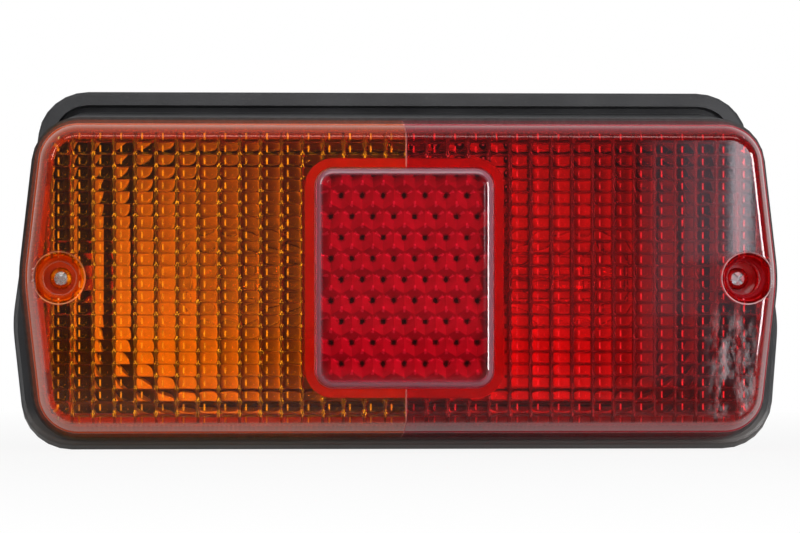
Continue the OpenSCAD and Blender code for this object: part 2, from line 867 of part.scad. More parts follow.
// Height of an end contact from the axis, by its number
function contact_offset(k, contacts) = (k - (contacts - 1) / 2) * button_pitch;

module indicator_bulb_cap() {
    color("#b9a35c") bulb_cap(-1, 1);
}

module stop_tail_bulb_cap() {
    color("#b9a35c") bulb_cap(1, 2);
}

// Half section of the glass with every radius less the given wall
function glass_section(wall) =
    let (r = glass_r - wall, neck = neck_r - wall, steps = 12)
    concat(
        [[neck, neck_seat], [neck, cap_end + 0.5]],
        [
            for (k = [0:steps])
                let (a = shoulder_angle * (1 - k / steps))
                [r * sin(a), glass_centre + r * cos(a)]
        ]
    );

// Glass envelope, open at the neck where the cap closes it
module bulb_glass(side) {
    inner = glass_section(glass_wall);
    on_bulb_axis(side)
        rotate_extrude()
            polygon(concat(glass_section(0), [for (k = [len(inner) - 1:-1:0]) inner[k]]));
}

module indicator_bulb_glass() {
    color("#dfe6ea", 0.4) bulb_glass(-1);
}

module stop_tail_bulb_glass() {
    color("#dfe6ea", 0.4) bulb_glass(1);
}

// Filaments on their lead wires: each filament runs across between two wires
module filaments(side, places) {
    on_bulb_axis(side)
        for (x = places) {
            aside = (x - places[0]) * 0.4;
            for (end = [-1, 1])
                translate([end * coil_half, aside, neck_seat])
                    cylinder(d = wire_d, h = x - neck_seat);
            translate([-coil_half, aside, x])
                rotate([0, 90, 0])
                    cylinder(d = coil_d, h = 2 * coil_half);
        }
}

module indicator_filament() {
    color("#8d8f93") filaments(-1, [filament_x]);
}

module stop_tail_filaments() {
    color("#8d8f93") filaments(1, [filament_x, filament_x + filament_step]);
}

// Insulating plate between the baffle and the contacts of one bulb
module insulator(side) {
    start = side > 0 ? insulator_x : -insulator_x - insulator_t;
    translate([start, bulb_y - socket_r, -socket_r - insulator_edge])
        cube([insulator_t, 2 * socket_r, 2 * (socket_r + insulator_edge)]);
}

module indicator_insulator() {
    color("#7a4a2b") insulator(-1);
}

module stop_tail_insulator() {
    color("#7a4a2b") insulator(1);
}

// Sprung contact: a leaf that bears on the bulb, and a blade for the cable's connector
module contact(side, height, blade_from, blade_to) {
    mirror([side > 0 ? 0 : 1, 0, 0]) {
        translate([0, bulb_y, height - leaf_w / 2])
            linear_extrude(leaf_w)
                polygon([
                    [contact_x, leaf_foot],
                    [contact_x, leaf_bend],
                    [contact_nose - contact_t, leaf_flat],
                    [contact_nose - contact_t, -leaf_flat],
                    [contact_nose - 2 * contact_t, -leaf_bend],
                    [contact_nose - contact_t, -leaf_bend],
                    [contact_nose, -leaf_flat],
                    [contact_nose, leaf_flat],
                    [contact_x + contact_t, leaf_bend + leaf_slant],
                    [contact_x + contact_t, leaf_foot]
                ]);
        translate([contact_x, bulb_y + leaf_foot - blade_w, blade_from])
            cube([contact_t, blade_w, blade_to - blade_from]);
    }
}

module indicator_contact() {
    color("#c9a24a") contact(-1, 0, leaf_w / 2 - fit_gap, blade_out);
}

module stop_contact() {
    color("#c9a24a") contact(1, contact_offset(1, 2), contact_offset(1, 2) - leaf_w / 2, blade_out);
}

module tail_contact() {
    color("#c9a24a") contact(1, contact_offset(0, 2), -blade_out, contact_offset(0, 2) + leaf_w / 2);
}

// Blade that lies on the bracket's foot and stands out past its lower edge
module earth_terminal() {
    blade_t = 0.8;
    blade_on = 6;
    color("#b9bbbd")
        on_mount()
            translate([earth_gap - arm_x + bracket_t, -foot_half_w - blade_beyond, foot_front])
                cube([blade_w, blade_beyond + blade_on, blade_t]);
}

// Cross recess of a screw head whose top lies at Z = 0
module cross_recess(d, deep) {
    for (turned = [0, 90])
        rotate([0, 0, turned + 45])
            translate([-d / 2, -d / 10, -deep])
                cube([d, d / 5, deep + reach]);
}

// Screw along Z with its head on top: the head's underside lies at Z = 0
module screw(head_d, head_h, d, length) {
    difference() {
        union() {
            rotate_extrude()
                polygon([
                    [0, 0],
                    [head_d / 2, 0],
                    [head_d / 2, 0.45 * head_h],
                    [0.44 * head_d, 0.75 * head_h],
                    [0.3 * head_d, 0.95 * head_h],
                    [0, head_h]
                ]);
            translate([0, 0, -length])
                cylinder(d1 = 0.5 * d, d2 = d, h = d);
            translate([0, 0, d - length])
                cylinder(d = d, h = length - d);
        }
        translate([0, 0, head_h])
            cross_recess(0.62 * head_d, 0.6 * head_h);
    }
}

module lens_screw(side) {
    color("#b4b6b8")
        translate([side * cup_x, lip_y + cup_seat_depth, 0])
            rotate([90, 0, 0])
                screw(screw_head_d, screw_head_h, screw_d, screw_length);
}

module lens_screw_left() {
    lens_screw(-1);
}

module lens_screw_right() {
    lens_screw(1);
}

module chassis_screws() {
    color("#b4b6b8")
        on_mount()
            for (side = [-1, 1])
                translate([side * chassis_screw_x, 0, foot_front])
                    screw(screw_head_d, screw_head_h, screw_d, foot_front - floor_back - reach);
}

module mounting_stud(side) {
    color("#a9abad") {
        on_mount()
            translate([side * stud_spacing / 2, 0, stud_head_top - stud_head_h])
                hexagon_bar(stud_head_af, stud_head_h);
        mount_bar(side * stud_spacing / 2, 0, stud_neck_d, 0, stud_head_top - stud_head_h + reach);
        mount_bar(side * stud_spacing / 2, 0, stud_d, -stud_out, reach);
    }
}

module mounting_stud_left() {
    mounting_stud(-1);
}

module mounting_stud_right() {
    mounting_stud(1);
}

// Rubber grommet that grips the edge of the hole in the base's floor
module cable_grommet() {
    color("#202020")
        difference() {
            union() {
                mount_bar(entry_x, entry_up, grommet_d, 0, gasket_t);
                mount_bar(entry_x, entry_up, entry_hole_d - fit_gap, 0, grommet_top);
                mount_bar(entry_x, entry_up, grommet_d, floor_front, grommet_top);
            }
            mount_bar(entry_x, entry_up, entry_d, -reach, grommet_top + reach);
        }
}

base_housing();
mounting_gasket();
lens_seal();
lens_amber();
lens_red();
reflex_reflector();
reflector_tray();
light_baffle();
socket_bracket();
indicator_socket();
stop_tail_socket();
indicator_bulb_cap();
stop_tail_bulb_cap();
indicator_bulb_glass();
stop_tail_bulb_glass();
indicator_filament();
stop_tail_filaments();
indicator_insulator();
stop_tail_insulator();
indicator_contact();
tail_contact();
stop_contact();
earth_terminal();
lens_screw_left();
lens_screw_right();
chassis_screws();
mounting_stud_left();
mounting_stud_right();
cable_grommet();
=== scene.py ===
import json
import math

import bmesh
import bpy
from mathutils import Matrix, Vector


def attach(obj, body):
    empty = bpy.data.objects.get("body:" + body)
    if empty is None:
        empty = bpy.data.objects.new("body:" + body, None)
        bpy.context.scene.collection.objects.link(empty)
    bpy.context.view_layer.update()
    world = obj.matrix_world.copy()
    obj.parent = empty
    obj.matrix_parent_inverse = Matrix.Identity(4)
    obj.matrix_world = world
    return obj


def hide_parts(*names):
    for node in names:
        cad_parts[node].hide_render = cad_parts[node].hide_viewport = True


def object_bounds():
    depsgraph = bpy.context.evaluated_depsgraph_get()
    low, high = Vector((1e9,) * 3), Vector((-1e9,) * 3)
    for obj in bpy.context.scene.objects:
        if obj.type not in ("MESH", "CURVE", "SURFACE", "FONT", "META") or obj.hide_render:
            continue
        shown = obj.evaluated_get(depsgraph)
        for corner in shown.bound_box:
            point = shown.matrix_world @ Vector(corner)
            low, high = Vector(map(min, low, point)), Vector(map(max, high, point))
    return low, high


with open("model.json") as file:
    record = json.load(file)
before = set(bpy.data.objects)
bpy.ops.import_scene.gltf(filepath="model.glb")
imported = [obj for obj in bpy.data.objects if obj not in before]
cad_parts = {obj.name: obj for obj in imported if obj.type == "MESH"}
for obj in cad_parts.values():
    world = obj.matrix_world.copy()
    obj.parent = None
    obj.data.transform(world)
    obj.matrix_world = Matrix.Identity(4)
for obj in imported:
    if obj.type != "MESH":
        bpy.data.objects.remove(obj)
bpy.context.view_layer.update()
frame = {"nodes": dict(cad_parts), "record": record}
NODES = frame["nodes"]
MM = 0.001

# ---------------------------------------------------------------- sizes, in millimetres
# Lens: outline over its lip, depths from the lip's plane, how far the skirt flares, wall
LENS_W, LENS_H, SIDE_STEP, LENS_R, SIDE_R = 197.2, 80.8, 4.6, 10.5, 40.0
LIP_Y, FACE, SKIRT, FLARE, WALL = -36.0, -12.0, 12.0, 2.2, 2.2
INNER = FACE + WALL
INNER_INSET = 4.78
SEAM_X = 0.4
PLASTIC_IOR = 1.49
PITCH_X, PITCH_Z = 5.39, 3.19
# Cups of the lens screws, and the window for the reflector
CUP_X, CUP_MOUTH, CUP_WELL, CUP_WALL, CUP_FLOOR = 89.4, 13.0, 8.4, 1.4, 2.0
SCREW_HOLE_R, SEAM_GAP = 1.7, 0.04
WIN_W, WIN_H, WIN_R = 46.9, 57.5, 5.0
WINDOW_STEP, WINDOW_STEPS = 3, 6
REFLEX_FLANGE = 2.3


# ---------------------------------------------------------------- outlines
def hexagon(w, h, side_step, r, side_r):
    """Corners, as (x, z, radius), of a shape that is widest at its middle height."""
    x, z = w / 2, h / 2
    return [(x, 0, side_r), (x - side_step, z, r), (side_step - x, z, r),
            (-x, 0, side_r), (side_step - x, -z, r), (x - side_step, -z, r)]


def box_corners(w, h, r):
    return [(w / 2, -h / 2, r), (w / 2, h / 2, r), (-w / 2, h / 2, r), (-w / 2, -h / 2, r)]


def unit(v):
    return v / v.length


def corner_parts(corners, i):
    """A corner's point, the directions to its neighbours, half its angle and the inward direction."""
    b, a, c = corners[i], corners[i - 1], corners[(i + 1) % len(corners)]
    pb, pa, pc = Vector(b[:2]), Vector(a[:2]), Vector(c[:2])
    ua, uc = unit(pa - pb), unit(pc - pb)
    half = math.acos(max(-1, min(1, ua @ uc))) / 2
    return pb, ua, uc, half, unit(ua + uc)


def inset(corners, d):
    """The outline moved inwards by d, with its radii reduced to match."""
    out = []
    for i, corner in enumerate(corners):
        pb, ua, uc, half, inward = corner_parts(corners, i)
        p = pb + inward * d / math.sin(half)
        out.append((p.x, p.y, max(corner[2] - d, 0.5)))
    return out


def arc(corners, i, steps):
    """Points on the rounding of one corner."""
    pb, ua, uc, half, inward = corner_parts(corners, i)
    r = corners[i][2]
    centre = pb + inward * r / math.sin(half)
    start = pb + ua * r / math.tan(half) - centre
    end = pb + uc * r / math.tan(half) - centre
    first = math.atan2(start.y, start.x)
    sweep = math.atan2(end.y, end.x) - first
    while sweep > math.pi:
        sweep -= 2 * math.pi
    while sweep < -math.pi:
        sweep += 2 * math.pi
    return [centre + r * Vector((math.cos(first + sweep * k / steps), math.sin(first + sweep * k / steps)))
            for k in range(steps + 1)]


def plan(corners, step, corner_steps):
    """How many points each straight side takes, so that every inset of the outline has the same."""
    counts = []
    n = len(corners)
    arcs = [arc(corners, i, corner_steps) for i in range(n)]
    for i in range(n):
        counts.append(max(1, round((arcs[(i + 1) % n][0] - arcs[i][-1]).length / step)))
    return counts


def outline(corners, counts, corner_steps):
    """All points of the outline, in order."""
    pts = []
    n = len(corners)
    arcs = [arc(corners, i, corner_steps) for i in range(n)]
    for i in range(n):
        pts += arcs[i]
        a, b = arcs[i][-1], arcs[(i + 1) % n][0]
        pts += [a.lerp(b, k / counts[i]) for k in range(1, counts[i])]
    return pts


LENS = hexagon(LENS_W, LENS_H, SIDE_STEP, LENS_R, SIDE_R)
WINDOW = box_corners(WIN_W, WIN_H, WIN_R)


def lens_ring(d, depth, counts, steps):
    return [Vector((p.x, LIP_Y + depth, p.y)) for p in outline(inset(LENS, d), counts, steps)]


def window_ring(d, depth, counts, steps):
    return [Vector((p.x, LIP_Y + depth, p.y)) for p in outline(inset(WINDOW, d), counts, steps)]


# ---------------------------------------------------------------- meshes
def make(name, verts, faces, smooth_angle=35):
    me = bpy.data.meshes.new(name)
    me.from_pydata([tuple(c * MM for c in v) for v in verts], [], faces)
    bm = bmesh.new()
    bm.from_mesh(me)
    bmesh.ops.remove_doubles(bm, verts=bm.verts, dist=1e-7)
    bmesh.ops.recalc_face_normals(bm, faces=bm.faces)
    bm.to_mesh(me)
    bm.free()
    o = bpy.data.objects.new(name, me)
    bpy.context.scene.collection.objects.link(o)
    shade(o, smooth_angle)
    return o


def shade(o, angle=35):
    for p in o.data.polygons:
        p.use_smooth = True
    o.data.set_sharp_from_angle(angle=math.radians(angle))


def flatten_front(o):
    """Lets the flat front face mirror as a plane, with no bend from the rounded edge round it."""
    for p in o.data.polygons:
        if p.normal.y < -0.99999:
            p.use_smooth = False


def loft(name, rings, caps=True, closed=False, smooth_angle=35):
    """Skin through rings of equally many points. With closed, the last ring joins the first."""
    n = len(rings[0])
    verts = [v for ring in rings for v in ring]
    m = len(rings)
    faces = []
    for k in range(m if closed else m - 1):
        a, b = k * n, ((k + 1) % m) * n
        for i in range(n):
            j = (i + 1) % n
            faces.append((a + i, a + j, b + j, b + i))
    if caps and not closed:
        faces.append(tuple(range(n - 1, -1, -1)))
        faces.append(tuple((m - 1) * n + i for i in range(n)))
    return make(name, verts, faces, smooth_angle)


def revolve(name, profile, origin, axis, segments=48, smooth_angle=35):
    """Closed body from (radius, height) pairs that start and end on the axis, or a closed loop."""
    z = Vector(axis).normalized()
    x = z.orthogonal().normalized()
    y = z.cross(x)
    o = Vector(origin)
    verts, faces = [], []
    loop = profile[0][0] > 1e-6
    turns = [2 * math.pi * k / segments for k in range(segments)]
    for r, h in profile:
        verts += [o + z * h + (x * math.cos(t) + y * math.sin(t)) * r for t in turns]
    m = len(profile)
    for k in range(m if loop else m - 1):
        a, b = k * segments, ((k + 1) % m) * segments
        for i in range(segments):
            j = (i + 1) % segments
            faces.append((a + i, a + j, b + j, b + i))
    ob = make(name, verts, faces, smooth_angle)
    bm = bmesh.new()
    bm.from_mesh(ob.data)
    bmesh.ops.dissolve_degenerate(bm, dist=1e-8, edges=bm.edges)
    bmesh.ops.recalc_face_normals(bm, faces=bm.faces)
    bm.to_mesh(ob.data)
    bm.free()
    shade(ob, smooth_angle)
    return ob


def boolean(a, b, operation, keep_b=False):
    """Applies a boolean to a and removes b, unless it is needed again."""
    m = a.modifiers.new("cut", "BOOLEAN")
    m.operation = operation
    m.object = b
    m.solver = "MANIFOLD"
    dg = bpy.context.evaluated_depsgraph_get()
    me = bpy.data.meshes.new_from_object(a.evaluated_get(dg))
    a.modifiers.clear()
    old = a.data
    a.data = me
    bpy.data.meshes.remove(old)
    if not keep_b:
        bpy.data.objects.remove(b)
    return a


def copy(o, name):
    c = o.copy()
    c.data = o.data.copy()
    c.name = name
    bpy.context.scene.collection.objects.link(c)
    return c


def block(name, low, high):
    verts = [(x, y, z) for z in (low[2], high[2]) for y in (low[1], high[1]) for x in (low[0], high[0])]
    faces = [(0, 2, 3, 1), (4, 5, 7, 6), (0, 1, 5, 4), (2, 6, 7, 3), (0, 4, 6, 2), (1, 3, 7, 5)]
    return make(name, verts, faces)


# ---------------------------------------------------------------- materials
def material(name):
    m = bpy.data.materials.new(name)
    m.use_nodes = True
    nt = m.node_tree
    return m, nt, nt.nodes["Principled BSDF"], nt.nodes["Material Output"]


def noise(nt, scale, detail=3, roughness=0.5, coords=None):
    n = nt.nodes.new("ShaderNodeTexNoise")
    n.inputs["Scale"].default_value = scale
    n.inputs["Detail"].default_value = detail
    n.inputs["Roughness"].default_value = roughness
    if coords is not None:
        nt.links.new(coords, n.inputs["Vector"])
    return n


def object_coords(nt, scale=(1, 1, 1), rotation=(0, 0, 0)):
    tc = nt.nodes.new("ShaderNodeTexCoord")
    mp = nt.nodes.new("ShaderNodeMapping")
    mp.inputs["Scale"].default_value = scale
    mp.inputs["Rotation"].default_value = rotation
    nt.links.new(tc.outputs["Object"], mp.inputs["Vector"])
    return mp.outputs["Vector"]


def ramp(nt, value, stops):
    r = nt.nodes.new("ShaderNodeValToRGB")
    e = r.color_ramp.elements
    while len(e) < len(stops):
        e.new(0.5)
    for k, (pos, col) in enumerate(stops):
        e[k].position = pos
        e[k].color = (*col, 1) if len(col) == 3 else col
    nt.links.new(value, r.inputs["Fac"])
    return r.outputs["Color"]


def grey(v):
    return (v, v, v)


def bump(nt, height, strength, distance):
    b = nt.nodes.new("ShaderNodeBump")
    b.inputs["Strength"].default_value = strength
    b.inputs["Distance"].default_value = distance
    nt.links.new(height, b.inputs["Height"])
    return b.outputs["Normal"]


def mixed_rgb(nt, fac, a, b):
    mix = nt.nodes.new("ShaderNodeMix")
    mix.data_type = "RGBA"
    nt.links.new(fac, mix.inputs["Factor"])
    for key, value in (("A", a), ("B", b)):
        if isinstance(value, tuple):
            mix.inputs[key].default_value = (*value, 1)
        else:
            nt.links.new(value, mix.inputs[key])
    return mix.outputs["Result"]


def axis_band(nt, axis, low, high):
    """0 below one place on an axis of the object and 1 above another, in millimetres."""
    tc = nt.nodes.new("ShaderNodeTexCoord")
    sep = nt.nodes.new("ShaderNodeSeparateXYZ")
    nt.links.new(tc.outputs["Object"], sep.inputs["Vector"])
    mr = nt.nodes.new("ShaderNodeMapRange")
    mr.interpolation_type = "SMOOTHSTEP"
    mr.inputs["From Min"].default_value = low * MM
    mr.inputs["From Max"].default_value = high * MM
    nt.links.new(sep.outputs[axis], mr.inputs["Value"])
    return mr.outputs["Result"]


def line_mask(nt, axis, pitch, start, half_width, soft=0.5):
    """1 on lines that lie a pitch apart along an axis of the object, in millimetres, and 0 between."""
    tc = nt.nodes.new("ShaderNodeTexCoord")
    sep = nt.nodes.new("ShaderNodeSeparateXYZ")
    nt.links.new(tc.outputs["Object"], sep.inputs["Vector"])
    shift = math_node(nt, "SUBTRACT", sep.outputs[axis], start * MM)
    near = math_node(nt, "PINGPONG", shift, pitch / 2 * MM)
    mr = nt.nodes.new("ShaderNodeMapRange")
    mr.interpolation_type = "SMOOTHSTEP"
    mr.inputs["From Min"].default_value = half_width * (1 - soft) * MM
    mr.inputs["From Max"].default_value = half_width * (1 + soft) * MM
    mr.inputs["To Min"].default_value = 1
    mr.inputs["To Max"].default_value = 0
    nt.links.new(near, mr.inputs["Value"])
    return mr.outputs["Result"]


def math_node(nt, operation, a, b):
    m = nt.nodes.new("ShaderNodeMath")
    m.operation = operation
    for k, value in enumerate((a, b)):
        if isinstance(value, (int, float)):
            m.inputs[k].default_value = value
        else:
            nt.links.new(value, m.inputs[k])
    return m.outputs[0]


def times(nt, a, b):
    return math_node(nt, "MULTIPLY", a, b)


def between(nt, axis, *ends):
    """1 between two places on an axis, which the four ends, in millimetres, give with their softness."""
    return math_node(nt, "SUBTRACT", axis_band(nt, axis, *ends[:2]), axis_band(nt, axis, *ends[2:]))


def within(nt, axis, half, soft):
    """1 closer to the middle of an axis than half, in millimetres, and 0 beyond the soft end."""
    return between(nt, axis, -half - soft, -half, half, half + soft)


def mix_shader(nt, fac, a, b):
    mix = nt.nodes.new("ShaderNodeMixShader")
    nt.links.new(fac, mix.inputs["Fac"])
    nt.links.new(a, mix.inputs[1])
    nt.links.new(b, mix.inputs[2])
    return mix.outputs["Shader"]


def opaque(nt, colour, roughness, ior=None):
    """Plain opaque plastic, to be mixed in where a mask says."""
    p = nt.nodes.new("ShaderNodeBsdfPrincipled")
    p.inputs["Base Color"].default_value = (*colour, 1)
    p.inputs["Roughness"].default_value = roughness
    if ior is not None:
        p.inputs["IOR"].default_value = ior
    return p.outputs["BSDF"]


def clear_to_shadow_rays(nt, shader, tint, out):
    """Lets lamps shine through, tinted, because rays to a lamp don't bend."""
    t = nt.nodes.new("ShaderNodeBsdfTransparent")
    t.inputs["Color"].default_value = (*tint, 1)
    lp = nt.nodes.new("ShaderNodeLightPath")
    mixed = mix_shader(nt, lp.outputs["Is Shadow Ray"], shader, t.outputs["BSDF"])
    nt.links.new(mixed, out.inputs["Surface"])


# Places along Y where masks fade in and out: the inner faces of the pillows, the rounded edge of
# the reflector's plate, the start of the side walls, the rear end of the cups' rings, and the face
PILLOW_Y = (-46.5, -46.2, -44.2, -43.8)
PLATE_EDGE_Y = (-49.95, -49.6, -46.8, -46.4)
WALL_Y = (-44.2, -42.6)
CUP_RING_Y = (-41.0, -42.0)
FACE_Y = (-47.7, -47.9)
# How much of each is mixed in: the painted glow of the side walls, the painted highlight rings of the cups,
# the painted reflection on the plate's edge, and the weld line
WALL_MIX, RING_MIX, EDGE_REFLECTION_MIX, WELD_MIX = 0.55, 0.6, 0.5, 0.5
# Half the width and height of the field of pillows, and the radius and half width of the cups' painted
# highlight rings
FIELD_X, FIELD_Z = 91.5, 36.8
CUP_RINGS = ((4.35, 0.25), (6.75, 0.3))
# The rubbed patch at the lower right end
SCUFF_X, SCUFF_Z = (76, 84, 89, 93), (-40, -34, -16, -4)


def painted_pillow_shade_and_glints(nt, shader, vec, gap_shade, glint, glint_x, row, gaps):
    """Painted shade in the gaps between the pillows and a painted highlight, a short bright dash, beside
    each, uneven as in moulded parts.
    """
    inside = between(nt, "Y", *PILLOW_Y)
    for axis, end in (("X", FIELD_X), ("Z", FIELD_Z)):
        inside = times(nt, inside, within(nt, axis, end, 0.3))
    beyond = REFLEX_FLANGE + 0.3
    framed = times(nt, within(nt, "X", WIN_W / 2 + beyond, 0.1), within(nt, "Z", WIN_H / 2 + beyond, 0.1))
    inside = times(nt, inside, math_node(nt, "SUBTRACT", 1.0, framed))
    uneven = noise(nt, 260, 2, 0.5, vec).outputs["Fac"]
    rows = times(nt, line_mask(nt, "Z", PITCH_Z, 0, gaps[0]), row)
    lines = math_node(nt, "MAXIMUM", rows, line_mask(nt, "X", PITCH_X, SEAM_X, gaps[1]))
    lines = times(nt, lines, ramp(nt, uneven, [(0.35, grey(0.45)), (0.6, grey(0.85))]))
    # Painted shade: the gaps between the pillows get a dark opaque colour
    shader = mix_shader(nt, times(nt, lines, inside), shader, opaque(nt, gap_shade, 0.3))
    # Painted highlights: a short bright stroke beside each gap
    painted_glints = times(nt, line_mask(nt, "Z", PITCH_Z, PITCH_Z / 2, 0.85, 0.25),
                   line_mask(nt, "X", PITCH_X, SEAM_X + glint_x, 0.2, 0.6))
    painted_glints = times(nt, painted_glints, ramp(nt, uneven, [(0.30, grey(0.25)), (0.62, grey(1.0))]))
    return mix_shader(nt, times(nt, painted_glints, inside), shader, opaque(nt, glint, 0.3))


def cup_ring_highlights(nt, shader, side, colour):
    """Painted highlights: pale rings at the mouth and the well of a screw cup."""
    tc = nt.nodes.new("ShaderNodeTexCoord")
    place = nt.nodes.new("ShaderNodeMapping")
    place.inputs["Location"].default_value = (-side * CUP_X * MM, 0, 0)
    place.inputs["Scale"].default_value = (1, 0, 1)
    nt.links.new(tc.outputs["Object"], place.inputs["Vector"])
    radius = nt.nodes.new("ShaderNodeVectorMath")
    radius.operation = "LENGTH"
    nt.links.new(place.outputs["Vector"], radius.inputs[0])
    rings = []
    for r, width in CUP_RINGS:
        off = math_node(nt, "ABSOLUTE", math_node(nt, "SUBTRACT", radius.outputs["Value"], r * MM), 0)
        near = nt.nodes.new("ShaderNodeMapRange")
        near.interpolation_type = "SMOOTHSTEP"
        near.inputs["From Min"].default_value = width * MM
        near.inputs["From Max"].default_value = 0
        nt.links.new(off, near.inputs["Value"])
        rings.append(near.outputs["Result"])
    mask = times(nt, math_node(nt, "MAXIMUM", *rings), axis_band(nt, "Y", *CUP_RING_Y))
    return mix_shader(nt, times(nt, mask, RING_MIX), shader, opaque(nt, colour, 0.2))


def weld_line(nt, shader):
    """The light line where the two halves of the lens are joined."""
    mask = between(nt, "X", SEAM_X - 0.24, SEAM_X - 0.1, SEAM_X + 0.1, SEAM_X + 0.24)
    return mix_shader(nt, times(nt, mask, WELD_MIX), shader, opaque(nt, (0.6, 0.25, 0.24), 0.25))


def scuffs(nt, shader):
    """Whitish rubbed patches on the face."""
    patch = times(nt, between(nt, "X", *SCUFF_X), between(nt, "Z", *SCUFF_Z))
    patch = times(nt, patch, axis_band(nt, "Y", *FACE_Y))
    cloud = noise(nt, 150, 6, 0.75, object_coords(nt, (1.8, 1, 0.7), (0, 0.5, 0)))
    rubbed = ramp(nt, cloud.outputs["Fac"], [(0.46, grey(0.0)), (0.68, grey(0.42))])
    return mix_shader(nt, times(nt, patch, rubbed), shader, opaque(nt, (0.62, 0.52, 0.54), 0.7))


def lens_material(name, colour, shadow, rough=0.035, wall=None, painted_shade_and_glints=None, ring=None, worn=False, edge=None):
    """Tinted clear plastic: refracts, and lets light through to the inside with its tint.
    Its thick side walls get a painted glow: an opaque colour that stands in for the light running inside
    them."""
    m, nt, p, out = material(name)
    p.inputs["Base Color"].default_value = (*colour, 1)
    p.inputs["Transmission Weight"].default_value = 1
    p.inputs["IOR"].default_value = PLASTIC_IOR
    vec = object_coords(nt)
    fine = noise(nt, 900, 2, 0.5, vec)
    soft = noise(nt, 60, 3, 0.6, vec)
    nt.links.new(ramp(nt, soft.outputs["Fac"], [(0.3, grey(rough * 0.6)), (0.8, grey(rough * 1.8))]),
                 p.inputs["Roughness"])
    nt.links.new(bump(nt, fine.outputs["Fac"], 0.02, 0.00005), p.inputs["Normal"])
    shader = p.outputs["BSDF"]
    # Painted shade in the gaps between the pillows, and painted highlights beside them
    if painted_shade_and_glints is not None:
        shader = painted_pillow_shade_and_glints(nt, shader, vec, *painted_shade_and_glints)
    if wall is not None:
        # Painted glow: an opaque colour on the side walls in place of the light running inside them
        glow = times(nt, axis_band(nt, "Y", *WALL_Y), WALL_MIX)
        shader = mix_shader(nt, glow, shader, opaque(nt, wall, 0.08, PLASTIC_IOR))
    # Painted highlights on the rings of the screw cups
    if ring is not None:
        shader = cup_ring_highlights(nt, shader, *ring)
    if edge is not None:
        # Painted reflection: a grey-violet colour on the rounded edge of the reflector's plate
        edge_reflection = times(nt, between(nt, "Y", *PLATE_EDGE_Y), EDGE_REFLECTION_MIX)
        shader = mix_shader(nt, edge_reflection, shader, opaque(nt, edge, 0.12))
    if painted_shade_and_glints is not None:
        shader = weld_line(nt, shader)
    if worn:
        shader = scuffs(nt, shader)
    clear_to_shadow_rays(nt, shader, shadow, out)
    return m


def metal_material(name, colour, rough, scale=400, metallic=1.0, tarnish=None):
    m, nt, p, out = material(name)
    vec = object_coords(nt)
    n = noise(nt, scale, 4, 0.6, vec)
    blotch = noise(nt, scale * 0.12, 3, 0.5, vec)
    dark = tarnish or tuple(c * 0.7 for c in colour)
    nt.links.new(ramp(nt, blotch.outputs["Fac"], [(0.3, dark), (0.65, colour)]), p.inputs["Base Color"])
    p.inputs["Metallic"].default_value = metallic
    nt.links.new(ramp(nt, n.outputs["Fac"], [(0.3, grey(rough * 0.75)), (0.75, grey(rough * 1.3))]),
                 p.inputs["Roughness"])
    nt.links.new(bump(nt, n.outputs["Fac"], 0.15, 0.0001), p.inputs["Normal"])
    return m


def base_material():
    m, nt, p, out = material("base_black_plastic")
    vec = object_coords(nt)
    grain = noise(nt, 1500, 4, 0.7, vec)
    cloud = noise(nt, 35, 4, 0.6, vec)
    dust = noise(nt, 420, 5, 0.75, vec)
    base = ramp(nt, cloud.outputs["Fac"], [(0.35, (0.018, 0.018, 0.020)), (0.75, (0.040, 0.040, 0.043))])
    dots = ramp(nt, dust.outputs["Fac"], [(0.62, grey(0.0)), (0.80, grey(0.35))])
    # Painted light: lighter grey towards the bottom, where the lower flange catches light; the specks are
    # dust
    low = axis_band(nt, "Z", -33, -40)
    dust_and_painted_light = math_node(nt, "MAXIMUM", dots, times(nt, low, 0.65))
    nt.links.new(mixed_rgb(nt, dust_and_painted_light, base, (0.16, 0.15, 0.14)), p.inputs["Base Color"])
    nt.links.new(ramp(nt, cloud.outputs["Fac"], [(0.3, grey(0.36)), (0.8, grey(0.52))]),
                 p.inputs["Roughness"])
    nt.links.new(bump(nt, grain.outputs["Fac"], 0.35, 0.0002), p.inputs["Normal"])
    return m


def rubber_material():
    m, nt, p, out = material("black_rubber")
    vec = object_coords(nt)
    n = noise(nt, 700, 4, 0.7, vec)
    nt.links.new(ramp(nt, n.outputs["Fac"], [(0.3, grey(0.018)), (0.8, grey(0.045))]),
                 p.inputs["Base Color"])
    p.inputs["Roughness"].default_value = 0.7
    nt.links.new(bump(nt, n.outputs["Fac"], 0.4, 0.0002), p.inputs["Normal"])
    return m


def tray_material():
    """Bright sheet with painted shade: darker in the middle and at the right end, where less light reaches
    it.
    """
    m, nt, p, out = material("bright_tray")
    vec = object_coords(nt)
    n = noise(nt, 220, 3, 0.6, vec)
    bright = ramp(nt, n.outputs["Fac"], [(0.3, (0.78, 0.78, 0.77)), (0.7, (0.92, 0.92, 0.91))])
    middle = between(nt, "X", -52, -28, 14, 24)
    painted_shade = math_node(nt, "MAXIMUM", middle, axis_band(nt, "X", 44, 60))
    nt.links.new(mixed_rgb(nt, times(nt, painted_shade, 0.8), bright, (0.13, 0.07, 0.05)), p.inputs["Base Color"])
    p.inputs["Metallic"].default_value = 0.35
    nt.links.new(ramp(nt, n.outputs["Fac"], [(0.3, grey(0.3)), (0.7, grey(0.45))]), p.inputs["Roughness"])
    nt.links.new(bump(nt, n.outputs["Fac"], 0.1, 0.0003), p.inputs["Normal"])
    return m


def fibre_material():
    m, nt, p, out = material("fibre_board")
    n = noise(nt, 300, 5, 0.7, object_coords(nt, (1, 1, 6)))
    nt.links.new(ramp(nt, n.outputs["Fac"], [(0.3, (0.20, 0.09, 0.045)), (0.75, (0.34, 0.17, 0.08))]),
                 p.inputs["Base Color"])
    p.inputs["Roughness"].default_value = 0.6
    return m


